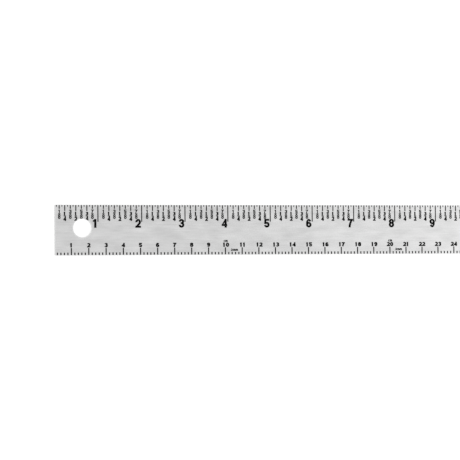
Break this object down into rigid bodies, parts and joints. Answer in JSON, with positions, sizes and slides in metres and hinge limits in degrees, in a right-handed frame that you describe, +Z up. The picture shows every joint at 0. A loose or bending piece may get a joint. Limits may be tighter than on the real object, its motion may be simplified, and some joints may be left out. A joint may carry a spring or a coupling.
{
  "type": "steel ruler",
  "caption": "Flat stainless steel ruler with an inch scale on one edge, a metric scale on the other, and a round hang hole near the zero end.",
  "frame": {"origin": "under the middle of the blade, on the plane of its back face", "axes": "+X runs along the scales from the zero end, +Y points across the blade to the inch edge, +Z points up out of the graduated face"},
  "size_m": [0.3048, 0.0286, 0.001],
  "materials": {
    "stainless_steel": "satin, brushed along its length",
    "black_enamel": "black enamel baked into etched lines and figures"
  },
  "bodies": {
    "root": {"blade": "stainless_steel", "inch_lines": "black_enamel", "half_inch_lines": "black_enamel", "quarter_inch_lines": "black_enamel", "eighth_inch_lines": "black_enamel", "sixteenth_inch_lines": "black_enamel", "centimetre_lines": "black_enamel", "two_millimetre_lines": "black_enamel"}
  },
  "joints": []
}
